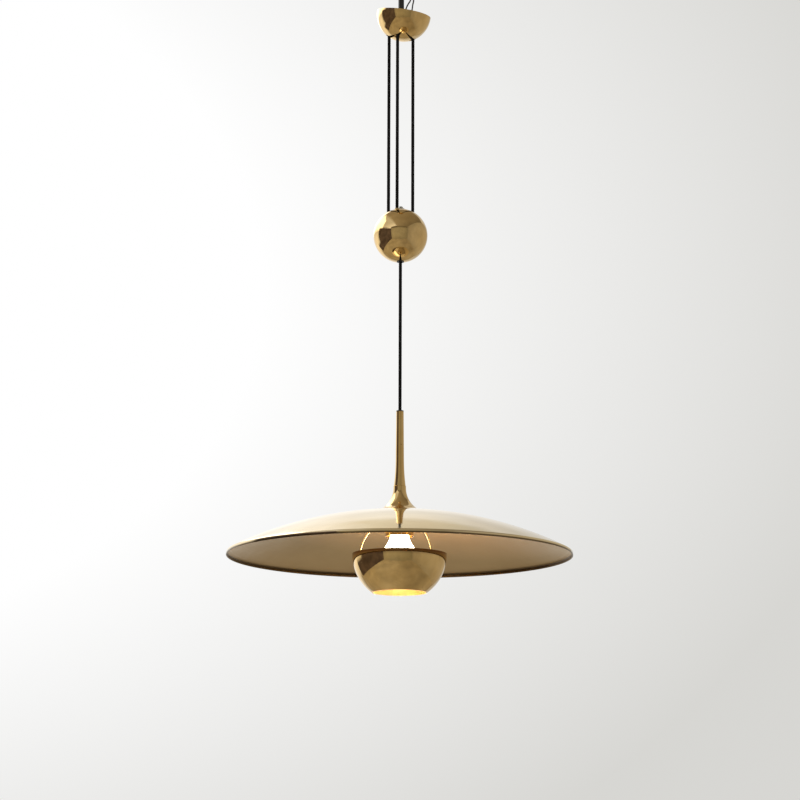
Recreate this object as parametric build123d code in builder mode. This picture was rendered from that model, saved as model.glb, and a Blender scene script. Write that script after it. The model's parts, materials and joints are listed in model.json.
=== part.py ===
from build123d import *
from math import acos, asin, cos, degrees, pi, radians, sin, sqrt, tan
import os

os.makedirs("parts", exist_ok=True)

# A rise-and-fall pendant lamp in millimetres, hung by the eye at the origin, +Z up, front towards -Y.
# One cord runs from a clamp in the ceiling cup, under the pulley in the ball, over the pulley in
# the cup, through a guide tube in the ball and down to the lamp.

# Cord and fits
cord_d = 5.2
lead_d = 2.4
running_gap = 0.05
seat_gap = 0.05
press_gap = 0.02
groove_gap = 0.35
guide_gap = 0.3

# Levels below the hanging eye
pivot_drop = 76.0
canopy_axle_drop = 57.0
weight_drop = 429.0
lamp_drop = 961.0

# Pulleys
weight_pitch_r = 20.0
canopy_pitch_r = 15.75
pulley_w = 8.5
pulley_flange_rise = 2.0
pulley_web = 4.0
pulley_rim = 2.0
pulley_edge = 0.7
pulley_hole_r = 1.5
pulley_holes = 5
hub_wall = 1.5
axle_r = 3.0
bush_wall = 1.5
bush_proud = 0.25
axle_end_play = 0.2

# Ceiling strap, seen square on: x along its width, y up, z out of its face
strap_azimuth = 35.0
strap_w = 10.0
strap_t = 2.5
eye_r = 11.0
eye_bore_r = 5.0
tab_reach = 25.0
tab_h = 12.0
strap_fillet = 2.0
knuckle_r = 4.0

# Canopy pulley axle
rivet_head_r = 4.5
rivet_head_t = 1.5
clip_neck_r = 2.4
clip_r = 5.5
clip_t = 1.0
clip_slot = 3.6

# Cord clamp on the back of the strap
clamp_top_drop = 40.0
clamp_h = 12.0
clamp_side_wall = 3.0
clamp_fillet = 1.5
clamp_screw_r = 1.5
clamp_screw_head_r = 2.7
clamp_screw_head_t = 1.6
clamp_screw_pitch = 6.0
clamp_screw_depth = 9.0

# Terminal block beside the eye
block_w = 12.0
block_h = 12.0
block_t = 10.0
block_fillet = 1.0
terminal_pitch = 5.5
terminal_depth = 4.0
terminal_screw_r = 1.6
terminal_screw_t = 0.8
block_screw_r = 1.25
block_screw_head_r = 2.0
block_screw_head_t = 1.2

# Canopy cup, leaning on its pivot bar
cup_r = 45.5
cup_wall = 1.5
cup_pivot_depth = 34.0
cup_lean = 13.9
cup_cord_hole_r = 5.2
pivot_bar_r = 2.0
lug_w = 7.0
lug_h = 8.0
lug_reach = 9.0

# Counterweight ball
ball_r = 44.5
ball_wall = 1.5
ball_pulley_rise = 8.0
ball_slot_gap = 0.8
ball_cord_hole_r = 4.0
bridge_w = 14.0
bridge_l = 25.0
bridge_t = 4.0
bridge_depth = 9.5
bridge_screw_r = 1.6
bridge_screw_pitch = 18.0
bridge_screw_l = 12.0
stud_r = 2.0
stud_l = 11.0
ball_washer_r = 6.5
ball_washer_t = 1.6
ball_nut_flats = 7.0
ball_nut_h = 3.2
weight_axle_front = 13.0
weight_axle_back = 30.0
guide_wall = 0.7
guide_mouth_depth = 3.5
guide_straight_end = -2.0
guide_gather_rise = 10.5
guide_bend_r = 30.0
guide_exit_bend_r = 12.0
exit_bush_r = 5.0
exit_flange_r = 6.0
exit_flange_t = 0.6
exit_bush_h = 3.4

# Shade, above the plane of its lip
shade_r = 275.0
shade_wall = 0.7
dome_r = 600.0
lip_h = 5.27
lip_bend = 3.0
hem_wall = 1.8
hem_h = 2.6
hem_round = 0.8

# Stem: trumpet base, tapered tube and cord grip
nipple_r = 5.0
nipple_bore_r = 3.5
nipple_engage = 10.0
flare_r = 40.0
flare_throat_r = 10.1
flare_sink = 0.5
flare_wall = 1.5
flare_base_r = 44.0
flare_land = 3.0
flare_hub_h = 10.0
seam_rise = 42.0
stem_foot_r = 9.6
stem_waist_r = 6.7
stem_waist_rise = 84.0
stem_top_r = 6.0
stem_top_rise = 164.0
stem_bore_r = 3.5
stem_chamfer = 0.4
grip_flange_t = 2.0
grip_spigot_r = 4.2
grip_spigot_l = 10.0
grip_round = 0.8

# Lampholder stack under the dome
shade_washer_r = 18.0
shade_washer_t = 1.5
nipple_nut_flats = 17.0
nipple_nut_h = 4.5
cup_holder_r = 22.5
cup_holder_wall = 1.0
cup_holder_top = 1.2
cup_holder_h = 32.0
holder_h = 24.0
holder_top_wall = 4.5
holder_cavity_r = 14.4
nipple_in_holder = 3.0
screw_shell_wall = 0.6
screw_shell_h = 17.0
contact_l = 22.0
contact_w = 5.0
contact_t = 0.8

# Lamp bulb
bulb_r = 30.0
bulb_l = 80.0
bulb_shoulder_r = 58.0
bulb_shoulder_angle = 34.7
bulb_neck_r = 14.6
bulb_wall = 1.0
bulb_cap_gap = 0.2
bulb_cap_l = 17.5
bulb_cap_wall = 0.8
bulb_tip_r = 4.5
bulb_tip_cone = 3.0
bulb_seam = 2.0

# Reflector bowl on its three wires
bowl_r = 75.5
bowl_wall = 0.8
bowl_hang = 67.0
bowl_mouth_r = 43.8
bowl_hem_wall = 1.5
bowl_hem_h = 1.6
wire_d = 2.4
wire_inset = 8.5
wire_azimuths = (-161.0, -41.0, 79.0)
wire_names = ("reflector_wire_left", "reflector_wire_right", "reflector_wire_back")
wire_foot_drop = 17.0
ring_wall = 5.0
ring_h = 8.0
ring_drop = 8.7
wire_in_ring = 3.0
lug_bowl_w = 6.0
lug_bowl_drop = 9.0
lug_bowl_h = 11.0
lug_bowl_inset = 3.0

# Values worked out from those above
cord_r = cord_d / 2
lead_r = lead_d / 2
groove_r = cord_r + groove_gap
bush_r = axle_r + running_gap + bush_wall
strand_x = weight_pitch_r
strand_u = strand_x * cos(radians(strap_azimuth))
strand_w = strand_x * sin(radians(strap_azimuth))
canopy_pulley_u = strand_u - canopy_pitch_r
feed_u = canopy_pulley_u - canopy_pitch_r
along = Vector(cos(radians(strap_azimuth)), sin(radians(strap_azimuth)), 0)
outward = Vector(sin(radians(strap_azimuth)), -cos(radians(strap_azimuth)), 0)
feed = along * feed_u + outward * strand_w
bridge_floor = ball_r - bridge_depth
guide_top = ball_r - guide_mouth_depth
guide_gather = guide_gather_rise - ball_r
dome_top = lip_h + dome_r - sqrt(dome_r**2 - shade_r**2)
dome_centre_z = dome_top - dome_r
seam_z = dome_top + seam_rise
stem_waist_z = dome_top + stem_waist_rise
stem_top_z = dome_top + stem_top_rise
bowl_rim_z = dome_top - bowl_hang
cup_up = Vector(0, 0, cos(radians(cup_lean))) + outward * sin(radians(cup_lean))

# Planes that carry the assemblies
strap_plane = Plane(origin=(0, 0, 0), x_dir=along, z_dir=outward)
canopy_pulley_plane = Plane(
    origin=strap_plane.from_local_coords((canopy_pulley_u, -canopy_axle_drop, strand_w)),
    x_dir=along,
    z_dir=outward,
)
cup_plane = Plane(origin=(0, 0, -pivot_drop), x_dir=along, z_dir=cup_up)
ball_plane = Plane.XY.offset(-weight_drop)
weight_pulley_plane = Plane(
    origin=(0, 0, -weight_drop + ball_pulley_rise), x_dir=(1, 0, 0), z_dir=(0, -1, 0)
)
lamp_plane = Plane.XY.offset(-lamp_drop)


def section_of(plane):
    """The half plane through a turned piece: x is the radius and y runs along the axis."""
    return Plane(origin=plane.origin, x_dir=plane.x_dir, z_dir=plane.y_dir * -1)


def axis_of(plane):
    return Axis(plane.origin, plane.z_dir)


def save(piece, name):
    piece.part.label = name
    export_step(piece.part, f"parts/{name}.step")


def sphere_z(radius, at):
    """Height of a sphere of this radius above its centre, at this distance from the axis."""
    return sqrt(radius**2 - at**2)


def dome_outer_z(at):
    return dome_centre_z + sphere_z(dome_r, at)


def dome_inner_z(at):
    return dome_centre_z + sphere_z(dome_r - shade_wall, at)


def make_strand(x, y, z_top, z_bottom, name):
    """A stretch of cord that a load pulls straight."""
    with BuildPart() as strand:
        with BuildSketch(Plane.XY.offset(z_bottom)):
            with Locations((x, y)):
                Circle(cord_r)
        extrude(amount=z_top - z_bottom)
    save(strand, name)


def make_wrap(plane, pitch_r, start_angle, name):
    """The half turn of cord that lies in a pulley's groove."""
    with BuildPart() as wrap:
        with BuildLine(plane) as turn:
            CenterArc((0, 0), pitch_r, start_angle, 180)
        with BuildSketch(Plane(origin=turn.edge() @ 0, z_dir=turn.edge() % 0)):
            Circle(cord_r)
        sweep()
    save(wrap, name)


def make_pulley(plane, pitch_r, name):
    """A grooved wheel with a thin, pierced web, pressed on its bush."""
    flange_r = pitch_r + pulley_flange_rise
    bore_r = bush_r + press_gap
    hub_r = bore_r + hub_wall
    rim_r = pitch_r - groove_r - pulley_rim
    recess = (pulley_w - pulley_web) / 2
    mouth = pulley_w / 2 - pulley_edge
    with BuildPart() as wheel:
        with BuildSketch(section_of(plane)):
            with Locations(((bore_r + flange_r) / 2, 0)):
                Rectangle(flange_r - bore_r, pulley_w)
            with Locations((pitch_r, 0)):
                Circle(groove_r, mode=Mode.SUBTRACT)
            with BuildLine():
                Polyline(
                    (pitch_r, -groove_r),
                    (flange_r, -mouth),
                    (flange_r, mouth),
                    (pitch_r, groove_r),
                    close=True,
                )
            make_face(mode=Mode.SUBTRACT)
            for side in (-1, 1):
                with Locations(((hub_r + rim_r) / 2, side * (pulley_web + recess) / 2)):
                    Rectangle(rim_r - hub_r, recess, mode=Mode.SUBTRACT)
        revolve(axis=axis_of(plane))
        with BuildSketch(plane):
            with PolarLocations((hub_r + rim_r) / 2, pulley_holes):
                Circle(pulley_hole_r)
        extrude(amount=pulley_w, both=True, mode=Mode.SUBTRACT)
    save(wheel, name)


def make_bush(plane, name):
    """The bearing bush that runs on an axle."""
    inner_r = axle_r + running_gap
    with BuildPart() as bush:
        with BuildSketch(section_of(plane)):
            with Locations(((inner_r + bush_r) / 2, 0)):
                Rectangle(bush_r - inner_r, pulley_w + 2 * bush_proud)
        revolve(axis=axis_of(plane))
    save(bush, name)


# Ceiling strap with its eye, terminal tab and rolled knuckle for the cup's pivot bar
with BuildPart() as hanger_strap:
    with BuildSketch(strap_plane.offset(-strap_t / 2)):
        Circle(eye_r)
        with Locations((0, -pivot_drop / 2)):
            Rectangle(strap_w, pivot_drop)
        with Locations((tab_reach / 2, 0)):
            Rectangle(tab_reach, tab_h)
    extrude(amount=strap_t)
    outer_corners = hanger_strap.edges().filter_by(Axis(strap_plane.origin, outward))
    fillet(outer_corners.sort_by(Axis(strap_plane.origin, along))[-2:], strap_fillet)
    with BuildSketch(Plane(origin=(0, 0, -pivot_drop), x_dir=outward, z_dir=along)):
        Circle(knuckle_r)
    extrude(amount=strap_w / 2, both=True)
    with BuildSketch(Plane(origin=(0, 0, -pivot_drop), x_dir=outward, z_dir=along)):
        Circle(pivot_bar_r + running_gap)
    extrude(amount=strap_w, both=True, mode=Mode.SUBTRACT)
    with BuildSketch(strap_plane):
        Circle(eye_bore_r)
        with Locations((canopy_pulley_u, -canopy_axle_drop)):
            Circle(axle_r + press_gap)
        with Locations((0, -clamp_top_drop - clamp_h / 2)):
            with GridLocations(0, clamp_screw_pitch, 1, 2):
                Circle(clamp_screw_r + seat_gap)
        with Locations((tab_reach - block_w / 2, 0)):
            Circle(block_screw_r + seat_gap)
    extrude(amount=strap_t, both=True, mode=Mode.SUBTRACT)
save(hanger_strap, "hanger_strap")

# Canopy pulley: axle riveted to the strap, spacer, bush, wheel and retaining clip
pulley_near_w = strand_w - pulley_w / 2 - bush_proud
pulley_far_w = strand_w + pulley_w / 2 + bush_proud
spacer_end_w = pulley_near_w - axle_end_play
clip_w = pulley_far_w + axle_end_play
with BuildPart() as canopy_axle:
    with BuildSketch(canopy_pulley_plane.offset(-strand_w - strap_t / 2 - rivet_head_t)):
        Circle(rivet_head_r)
    extrude(amount=rivet_head_t)
    with BuildSketch(canopy_pulley_plane.offset(-strand_w - strap_t / 2)):
        Circle(axle_r)
    extrude(amount=strap_t / 2 + clip_w)
    with BuildSketch(canopy_pulley_plane.offset(clip_w - strand_w)):
        Circle(clip_neck_r)
    extrude(amount=clip_t)
    with BuildSketch(canopy_pulley_plane.offset(clip_w + clip_t - strand_w)):
        Circle(axle_r)
    extrude(amount=clip_t)
save(canopy_axle, "canopy_axle")

with BuildPart() as canopy_spacer:
    with BuildSketch(canopy_pulley_plane.offset(strap_t / 2 - strand_w)):
        Circle(bush_r)
        Circle(axle_r + seat_gap, mode=Mode.SUBTRACT)
    extrude(amount=spacer_end_w - strap_t / 2)
save(canopy_spacer, "canopy_spacer")

with BuildPart() as canopy_clip:
    with BuildSketch(canopy_pulley_plane.offset(clip_w - strand_w)):
        Circle(clip_r)
        Circle(clip_neck_r + seat_gap, mode=Mode.SUBTRACT)
        with Locations((0, clip_r / 2)):
            Rectangle(clip_slot, clip_r, mode=Mode.SUBTRACT)
    extrude(amount=clip_t)
save(canopy_clip, "canopy_clip")

make_pulley(canopy_pulley_plane, canopy_pitch_r, "canopy_pulley")
make_bush(canopy_pulley_plane, "canopy_bush")

# Cord clamp: a block on the back of the strap that holds the cord's fixed end
clamp_left = -strand_u - cord_r - clamp_side_wall
clamp_right = strap_w / 2
clamp_back = -strand_w - cord_r - clamp_side_wall
clamp_plane = Plane.XY.offset(-clamp_top_drop)
clamp_screw_plane = strap_plane.offset(strap_t / 2)
with BuildPart() as cord_clamp:
    with BuildSketch(strap_plane.offset(-strap_t / 2)):
        with Locations(((clamp_left + clamp_right) / 2, -clamp_top_drop - clamp_h / 2)):
            Rectangle(clamp_right - clamp_left, clamp_h)
    extrude(amount=strap_t / 2 + clamp_back)
    upright = cord_clamp.edges().filter_by(Axis.Z)
    fillet(upright.sort_by(Axis(strap_plane.origin, outward))[:2], clamp_fillet)
    with BuildSketch(clamp_plane):
        with Locations((-strand_x, 0)):
            Circle(cord_r + seat_gap)
    extrude(amount=-clamp_h, mode=Mode.SUBTRACT)
    with BuildSketch(strap_plane.offset(-strap_t / 2)):
        with Locations((0, -clamp_top_drop - clamp_h / 2)):
            with GridLocations(0, clamp_screw_pitch, 1, 2):
                Circle(clamp_screw_r + seat_gap)
    extrude(amount=-clamp_screw_depth, mode=Mode.SUBTRACT)
    with BuildSketch(strap_plane.offset(clamp_back)):
        with Locations((-strand_u, -clamp_top_drop - clamp_h / 2)):
            Circle(clamp_screw_r + seat_gap)
    extrude(amount=clamp_side_wall, mode=Mode.SUBTRACT)
save(cord_clamp, "cord_clamp")

with BuildPart() as clamp_screws:
    with BuildSketch(clamp_screw_plane):
        with Locations((0, -clamp_top_drop - clamp_h / 2)):
            with GridLocations(0, clamp_screw_pitch, 1, 2):
                Circle(clamp_screw_head_r)
    extrude(amount=clamp_screw_head_t)
    with BuildSketch(clamp_screw_plane):
        with Locations((0, -clamp_top_drop - clamp_h / 2)):
            with GridLocations(0, clamp_screw_pitch, 1, 2):
                Circle(clamp_screw_r)
    extrude(amount=-(clamp_screw_depth + strap_t - seat_gap))
    with BuildSketch(strap_plane.offset(clamp_back)):
        with Locations((-strand_u, -clamp_top_drop - clamp_h / 2)):
            Circle(clamp_screw_r)
    extrude(amount=clamp_side_wall - seat_gap)
save(clamp_screws, "clamp_screws")

# Terminal block on the strap's tab, with its fixing screw and two terminal screws
block_u = tab_reach - block_w / 2
block_face_w = strap_t / 2 + block_t
terminal_w = strap_t / 2 + block_t / 2
with BuildPart() as terminal_block:
    with BuildSketch(strap_plane.offset(strap_t / 2)):
        with Locations((block_u, 0)):
            Rectangle(block_w, block_h)
    extrude(amount=block_t)
    fillet(terminal_block.edges().filter_by(Axis(strap_plane.origin, outward)), block_fillet)
    with BuildSketch(Plane.XY.offset(-block_h / 2)):
        for side in (-1, 1):
            spot = along * (block_u + side * terminal_pitch / 2) + outward * terminal_w
            with Locations((spot.X, spot.Y)):
                Circle(lead_r + seat_gap)
    extrude(amount=terminal_depth, mode=Mode.SUBTRACT)
    with BuildSketch(strap_plane.offset(strap_t / 2)):
        with Locations((block_u, 0)):
            Circle(block_screw_r + seat_gap)
    extrude(amount=block_t, mode=Mode.SUBTRACT)
save(terminal_block, "terminal_block")

with BuildPart() as block_screws:
    with BuildSketch(strap_plane.offset(-strap_t / 2)):
        with Locations((block_u, 0)):
            Circle(block_screw_r)
    extrude(amount=strap_t + block_t)
    with BuildSketch(strap_plane.offset(block_face_w)):
        with Locations((block_u, 0)):
            Circle(block_screw_head_r)
    extrude(amount=block_screw_head_t)
    with BuildSketch(strap_plane.offset(block_face_w)):
        with Locations((block_u, -block_h / 4)):
            with GridLocations(terminal_pitch, 0, 2, 1):
                Circle(terminal_screw_r)
    extrude(amount=terminal_screw_t)
save(block_screws, "block_screws")

# Supply leads from the cord's fixed end round the strap to the terminals, as
# (along the strap, out of its face, height)
lead_side = lead_r + seat_gap
terminal_z = -block_h / 2 + terminal_depth
lead_routes = {
    "supply_lead_line": (
        (-strand_u, -strand_w - lead_side, -clamp_top_drop),
        (-strand_u, -strand_w - lead_side, -33.5),
        (-10.5, -14.5, -30.0),
        (0.5, -11.0, -31.5),
        (10.5, -3.5, -31.0),
        (10.0, 4.0, -22.0),
        (block_u - terminal_pitch / 2, terminal_w, -12.0),
        (block_u - terminal_pitch / 2, terminal_w, terminal_z),
    ),
    "supply_lead_neutral": (
        (-strand_u, -strand_w + lead_side, -clamp_top_drop),
        (-strand_u, -strand_w + lead_side, -32.0),
        (-8.5, -9.0, -29.5),
        (3.5, -6.5, -35.0),
        (15.0, -4.5, -36.5),
        (22.0, 0.5, -30.5),
        (20.0, 5.0, -20.0),
        (block_u + terminal_pitch / 2, terminal_w, -12.0),
        (block_u + terminal_pitch / 2, terminal_w, terminal_z),
    ),
}


def bend_radii(points):
    """The largest arc that each corner's two runs leave room for."""
    radii = []
    for before, corner, after in zip(points, points[1:], points[2:]):
        turn = (corner - before).get_angle(after - corner)
        run = min((corner - before).length, (after - corner).length)
        radii.append(0.45 * run / tan(radians(turn) / 2))
    return radii


for lead_name, route in lead_routes.items():
    lead_points = [along * u + outward * w + Vector(0, 0, z) for u, w, z in route]
    radii = bend_radii(lead_points)
    with BuildPart() as lead:
        with BuildLine() as lead_line:
            FilletPolyline(*lead_points, radius=radii)
        lead_wire = lead_line.wire()
        with BuildSketch(Plane(origin=lead_wire @ 0, z_dir=lead_wire % 0)):
            Circle(lead_r)
        sweep(path=lead_wire)
    tube_share = lead.part.volume / (lead_wire.length * pi * lead_r**2)
    print(lead_name, "radii", [round(r, 1) for r in radii], "volume share", round(tube_share, 3))
    save(lead, lead_name)

# Upper strands and the turn of cord over the canopy pulley
weight_axle_z = -weight_drop + ball_pulley_rise
make_strand(-strand_x, 0, -clamp_top_drop, weight_axle_z, "strand_anchor")
make_strand(strand_x, 0, -canopy_axle_drop, weight_axle_z, "strand_return")
make_strand(feed.X, feed.Y, -canopy_axle_drop, -weight_drop + guide_top, "strand_feed")
make_wrap(canopy_pulley_plane, canopy_pitch_r, 0, "canopy_wrap")

# Canopy cup: a half ball open to the ceiling, with a hole for each strand
cup_centre_plane = cup_plane.offset(cup_pivot_depth)
with BuildPart() as canopy_cup:
    with BuildSketch(section_of(cup_centre_plane)):
        with BuildLine():
            CenterArc((0, 0), cup_r, -90, 90)
            CenterArc((0, 0), cup_r - cup_wall, -90, 90)
            Line((0, -cup_r), (0, -cup_r + cup_wall))
            Line((cup_r, 0), (cup_r - cup_wall, 0))
        make_face()
    revolve(axis=axis_of(cup_centre_plane))
    with BuildSketch(cup_plane):
        with Locations((-strand_u, strand_w), (strand_u, -strand_w), (feed_u, -strand_w)):
            Circle(cup_cord_hole_r)
    extrude(amount=-cup_r, mode=Mode.SUBTRACT)
save(canopy_cup, "canopy_cup")

lug_end = sphere_z(cup_r - cup_wall, cup_pivot_depth)
bar_end = sphere_z(cup_r - cup_wall, cup_pivot_depth + pivot_bar_r) - seat_gap
pivot_axis_plane = Plane(origin=cup_plane.origin, x_dir=cup_plane.y_dir, z_dir=along)
with BuildPart() as canopy_lugs:
    for side in (-1, 1):
        with BuildSketch(pivot_axis_plane.offset(side * (lug_end - lug_reach))):
            Rectangle(lug_w, lug_h)
        extrude(amount=side * 2 * lug_reach)
    with Locations(Location(cup_centre_plane)):
        Sphere(cup_r - cup_wall - press_gap, mode=Mode.INTERSECT)
    with BuildSketch(pivot_axis_plane):
        Circle(pivot_bar_r + press_gap)
    extrude(amount=cup_r, both=True, mode=Mode.SUBTRACT)
save(canopy_lugs, "canopy_lugs")

with BuildPart() as pivot_bar:
    with BuildSketch(pivot_axis_plane):
        Circle(pivot_bar_r)
    extrude(amount=bar_end, both=True)
    fillet(pivot_bar.edges().filter_by(GeomType.CIRCLE), pivot_bar_r / 4)
save(pivot_bar, "pivot_bar")

# Counterweight: heavy core with a slot for the pulley, between two brass half shells
core_r = ball_r - ball_wall - seat_gap
slot_r = weight_pitch_r + pulley_flange_rise + 2 * ball_slot_gap
slot_w = pulley_w + 2 * bush_proud + 2 * axle_end_play
guide_r = cord_r + guide_gap + guide_wall
guide_points = [
    (feed.X, feed.Y, -weight_drop + guide_top),
    (feed.X, feed.Y, -weight_drop + guide_straight_end),
    (0, 0, -weight_drop + guide_gather),
    (0, 0, -weight_drop - ball_r + exit_bush_h),
]
guide_radii = [guide_bend_r, guide_exit_bend_r]


def sweep_guide(radius, points, mode):
    """A round section swept along the cord's path through the ball."""
    with BuildLine() as guide_line:
        FilletPolyline(*points, radius=guide_radii)
    guide_wire = guide_line.wire()
    with BuildSketch(Plane(origin=guide_wire @ 0, z_dir=guide_wire % 0)) as section:
        Circle(radius)
    sweep(section.sketch, path=guide_wire, mode=mode)


bush_top_z = -ball_r + exit_bush_h
with BuildPart() as weight_core:
    with Locations(Location(ball_plane)):
        Sphere(core_r)
    with BuildSketch(weight_pulley_plane.offset(-slot_w / 2)):
        Circle(slot_r)
        with Locations((0, ball_r / 2)):
            Rectangle(2 * slot_r, ball_r)
    extrude(amount=slot_w, mode=Mode.SUBTRACT)
    with BuildSketch(ball_plane.offset(bridge_floor)):
        Rectangle(bridge_w + 2 * seat_gap, bridge_l + 2 * seat_gap)
    extrude(amount=ball_r, mode=Mode.SUBTRACT)
    with BuildSketch(ball_plane.offset(bridge_floor)):
        with GridLocations(0, bridge_screw_pitch, 1, 2):
            Circle(bridge_screw_r + seat_gap)
    extrude(amount=-bridge_screw_l, mode=Mode.SUBTRACT)
    with BuildSketch(weight_pulley_plane.offset(weight_axle_front)):
        Circle(axle_r + press_gap)
    extrude(amount=-weight_axle_front - ball_r, mode=Mode.SUBTRACT)
    sweep_guide(guide_r + seat_gap, guide_points, Mode.SUBTRACT)
    with BuildSketch(ball_plane.offset(bush_top_z)):
        Circle(exit_bush_r + seat_gap)
    extrude(amount=-ball_r, mode=Mode.SUBTRACT)
save(weight_core, "weight_core")

with BuildPart() as weight_shell_upper:
    with BuildSketch(section_of(ball_plane)):
        with BuildLine():
            CenterArc((0, 0), ball_r, 0, 90)
            CenterArc((0, 0), ball_r - ball_wall, 0, 90)
            Line((0, ball_r), (0, ball_r - ball_wall))
            Line((ball_r, 0), (ball_r - ball_wall, 0))
        make_face()
    revolve(axis=axis_of(ball_plane))
    with BuildSketch(ball_plane):
        with Locations((-strand_x, 0), (strand_x, 0)):
            Circle(ball_cord_hole_r)
        with Locations((feed.X, feed.Y)):
            Circle(guide_r + seat_gap)
        Circle(stud_r + seat_gap)
    extrude(amount=ball_r, mode=Mode.SUBTRACT)
save(weight_shell_upper, "weight_shell_upper")

with BuildPart() as weight_shell_lower:
    with BuildSketch(section_of(ball_plane)):
        with BuildLine():
            CenterArc((0, 0), ball_r, -90, 90)
            CenterArc((0, 0), ball_r - ball_wall, -90, 90)
            Line((0, -ball_r), (0, -ball_r + ball_wall))
            Line((ball_r, 0), (ball_r - ball_wall, 0))
        make_face()
    revolve(axis=axis_of(ball_plane))
    with BuildSketch(ball_plane):
        Circle(exit_bush_r + seat_gap)
    extrude(amount=-ball_r, mode=Mode.SUBTRACT)
save(weight_shell_lower, "weight_shell_lower")

with BuildPart() as weight_bridge:
    with BuildSketch(ball_plane.offset(bridge_floor)):
        Rectangle(bridge_w, bridge_l)
        with GridLocations(0, bridge_screw_pitch, 1, 2):
            Circle(bridge_screw_r + seat_gap, mode=Mode.SUBTRACT)
    extrude(amount=bridge_t)
    with BuildSketch(ball_plane.offset(bridge_floor + bridge_t)):
        Circle(stud_r)
    extrude(amount=stud_l)
save(weight_bridge, "weight_bridge")

with BuildPart() as bridge_screws:
    with BuildSketch(ball_plane.offset(bridge_floor + bridge_t)):
        with GridLocations(0, bridge_screw_pitch, 1, 2):
            Circle(bridge_screw_r)
    extrude(amount=-bridge_t - bridge_screw_l + seat_gap)
save(bridge_screws, "bridge_screws")

ball_washer_z = sphere_z(ball_r, stud_r + seat_gap)
with BuildPart() as ball_washer:
    with BuildSketch(ball_plane.offset(ball_washer_z)):
        Circle(ball_washer_r)
        Circle(stud_r + seat_gap, mode=Mode.SUBTRACT)
    extrude(amount=ball_washer_t)
save(ball_washer, "ball_washer")

with BuildPart() as ball_nut:
    with BuildSketch(ball_plane.offset(ball_washer_z + ball_washer_t)):
        RegularPolygon(ball_nut_flats / 2, 6, major_radius=False)
        Circle(stud_r + seat_gap, mode=Mode.SUBTRACT)
    extrude(amount=ball_nut_h)
save(ball_nut, "ball_nut")

with BuildPart() as weight_axle:
    with BuildSketch(weight_pulley_plane.offset(weight_axle_front)):
        Circle(axle_r)
    extrude(amount=-weight_axle_front - weight_axle_back)
save(weight_axle, "weight_axle")

make_pulley(weight_pulley_plane, weight_pitch_r, "weight_pulley")
make_bush(weight_pulley_plane, "weight_bush")
make_wrap(weight_pulley_plane, weight_pitch_r, 180, "weight_wrap")

with BuildPart() as guide_tube:
    sweep_guide(guide_r, guide_points, Mode.ADD)
    sweep_guide(guide_r - guide_wall, guide_points, Mode.SUBTRACT)
save(guide_tube, "guide_tube")

exit_bush_bottom = -ball_r - exit_flange_t
with BuildPart() as exit_bush:
    with BuildSketch(ball_plane.offset(-sphere_z(ball_r, exit_bush_r + seat_gap))):
        Circle(exit_flange_r)
    extrude(amount=-exit_flange_t - ball_r + sphere_z(ball_r, exit_bush_r + seat_gap))
    with BuildSketch(ball_plane.offset(bush_top_z)):
        Circle(exit_bush_r)
    extrude(amount=exit_bush_bottom - bush_top_z)
    with BuildSketch(ball_plane.offset(bush_top_z)):
        Circle(cord_r + guide_gap)
    extrude(amount=exit_bush_bottom - bush_top_z, mode=Mode.SUBTRACT)
save(exit_bush, "exit_bush")

guide_run_points = guide_points[:-1] + [(0, 0, -weight_drop + exit_bush_bottom)]
with BuildPart() as guide_run:
    sweep_guide(cord_r, guide_run_points, Mode.ADD)
save(guide_run, "guide_run")

# Shade: a shallow spun dome with a turned lip and a folded hem
nipple_hole_r = nipple_r + seat_gap
rim_angle = degrees(acos(shade_r / dome_r))
hole_angle = degrees(acos(nipple_hole_r / dome_r))
inner_r = dome_r - shade_wall
inner_rim_angle = degrees(acos((shade_r - shade_wall) / inner_r))
inner_hole_angle = degrees(acos(nipple_hole_r / inner_r))
lip_top_z = dome_outer_z(shade_r)
inner_lip_top_z = dome_inner_z(shade_r - shade_wall)
with BuildPart() as shade:
    with BuildSketch(section_of(lamp_plane)) as shade_profile:
        with BuildLine():
            CenterArc((0, dome_centre_z), dome_r, rim_angle, hole_angle - rim_angle)
            CenterArc((0, dome_centre_z), inner_r, inner_rim_angle, inner_hole_angle - inner_rim_angle)
            Line((nipple_hole_r, dome_outer_z(nipple_hole_r)), (nipple_hole_r, dome_inner_z(nipple_hole_r)))
            Polyline(
                (shade_r - shade_wall, inner_lip_top_z),
                (shade_r - shade_wall, hem_h),
                (shade_r - hem_wall, hem_h),
                (shade_r - hem_wall, 0),
                (shade_r, 0),
                (shade_r, lip_top_z),
            )
        make_face()
        lip_corner = shade_profile.vertices().sort_by_distance((shade_r, lip_top_z, 0))[0]
        fillet(lip_corner, lip_bend)
        inner_lip = (shade_r - shade_wall, inner_lip_top_z, 0)
        fillet(shade_profile.vertices().sort_by_distance(inner_lip)[0], lip_bend - shade_wall)
        hem_corners = shade_profile.vertices().sort_by_distance((shade_r - hem_wall / 2, 0, 0))[:2]
        fillet(hem_corners, hem_round)
    revolve(axis=axis_of(lamp_plane))
save(shade, "shade")

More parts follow.
